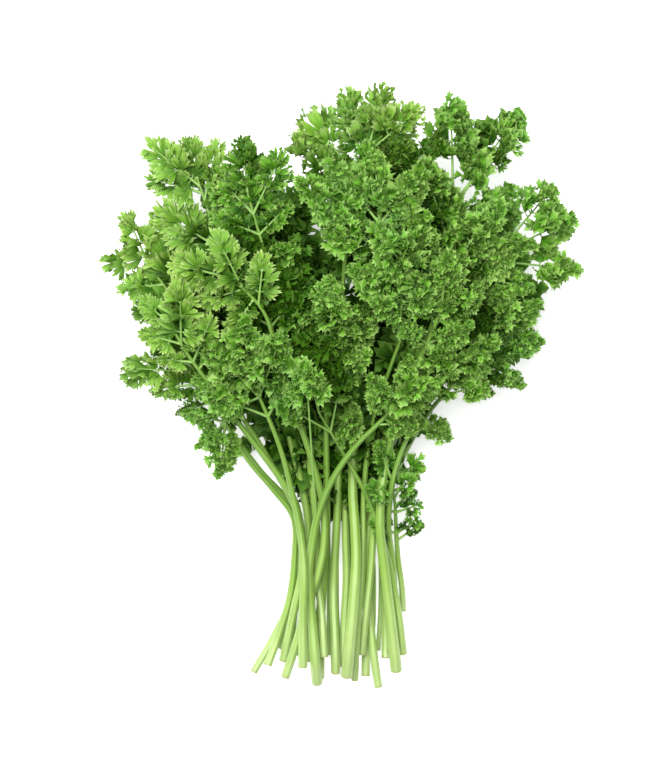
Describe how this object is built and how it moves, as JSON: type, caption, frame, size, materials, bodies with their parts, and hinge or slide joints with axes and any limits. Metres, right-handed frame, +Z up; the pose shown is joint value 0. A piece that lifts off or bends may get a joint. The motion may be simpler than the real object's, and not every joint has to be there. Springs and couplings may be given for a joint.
{
  "type": "parsley bunch",
  "caption": "Bunch of curly parsley, cut and untied, lying on its side: pale slender stems fan out into a dense domed head of crisped, deeply cut green leaves.",
  "frame": {"origin": "middle of the bunch's box in plan, on the surface that it lies on", "axes": "+Y along the bunch, from the cut ends of the stems to the top of the head; +Z up, through the flattened head; +X across"},
  "size_m": [0.205, 0.2556, 0.0783],
  "materials": {
    "leaf_green": "satin leaf surface",
    "bright_green": "satin leaf surface, yellower green",
    "inner_green": "satin leaf surface, deep green"
  },
  "bodies": {
    "root": {"front_left_frond": "leaf_green", "forked_frond": "leaf_green", "crossing_frond": "leaf_green", "left_hanging_frond": "leaf_green", "left_low_frond": "bright_green", "left_bright_frond": "bright_green", "left_broad_frond": "bright_green", "left_far_frond": "bright_green", "upper_left_frond": "bright_green", "upper_left_inner_frond": "leaf_green", "top_centre_frond": "bright_green", "top_right_inner_frond": "leaf_green", "upper_centre_frond": "leaf_green", "centre_frond": "leaf_green", "top_right_frond": "leaf_green", "right_frond": "leaf_green", "right_inner_frond": "leaf_green", "centre_right_frond": "leaf_green", "right_low_frond": "leaf_green", "right_front_frond": "leaf_green", "right_neck_frond": "leaf_green", "middle_frond": "leaf_green", "middle_left_frond": "leaf_green", "inner_front_frond": "inner_green", "under_left_frond": "inner_green", "under_upper_left_frond": "inner_green", "under_upper_right_frond": "inner_green", "under_right_frond": "inner_green", "under_front_frond": "inner_green", "inner_left_frond": "inner_green", "inner_right_frond": "inner_green"}
  },
  "joints": []
}
